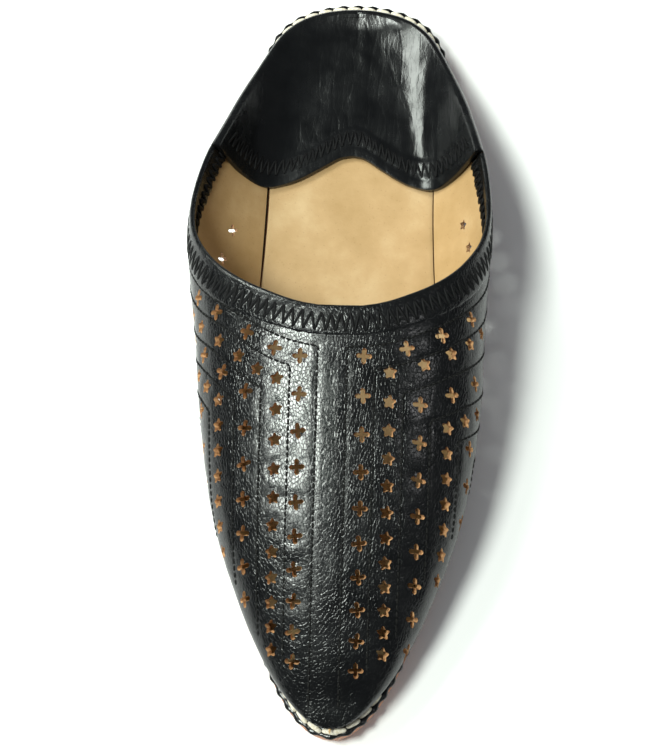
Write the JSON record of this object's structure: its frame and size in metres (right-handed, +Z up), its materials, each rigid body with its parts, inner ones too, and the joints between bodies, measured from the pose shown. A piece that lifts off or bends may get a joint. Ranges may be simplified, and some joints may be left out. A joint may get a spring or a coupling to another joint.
{
  "type": "babouche slipper",
  "caption": "Flat leather babouche slipper with a long pointed toe, a punched and quilted vamp, low sides and a back trodden down flat inside the heel.",
  "frame": {"origin": "on the floor under the middle of the slipper's length and width", "axes": "+X across the foot, +Y from the pointed toe towards the heel, +Z up"},
  "size_m": [0.1002, 0.285, 0.064],
  "materials": {
    "sole_leather": "natural vegetable-tanned sole leather, matt",
    "heel_leather": "dark brown stacked leather, matt",
    "lining_leather": "undyed beige lining leather, matt",
    "black_leather": "black glazed goat leather, creased, semi-gloss",
    "ivory_thread": "thick waxed ivory thread",
    "black_thread": "black waxed sewing thread"
  },
  "bodies": {
    "root": {"outsole": "sole_leather", "heel_lift": "heel_leather", "insole": "lining_leather", "upper": "black_leather", "heel_quarter": "black_leather"}
  },
  "joints": []
}
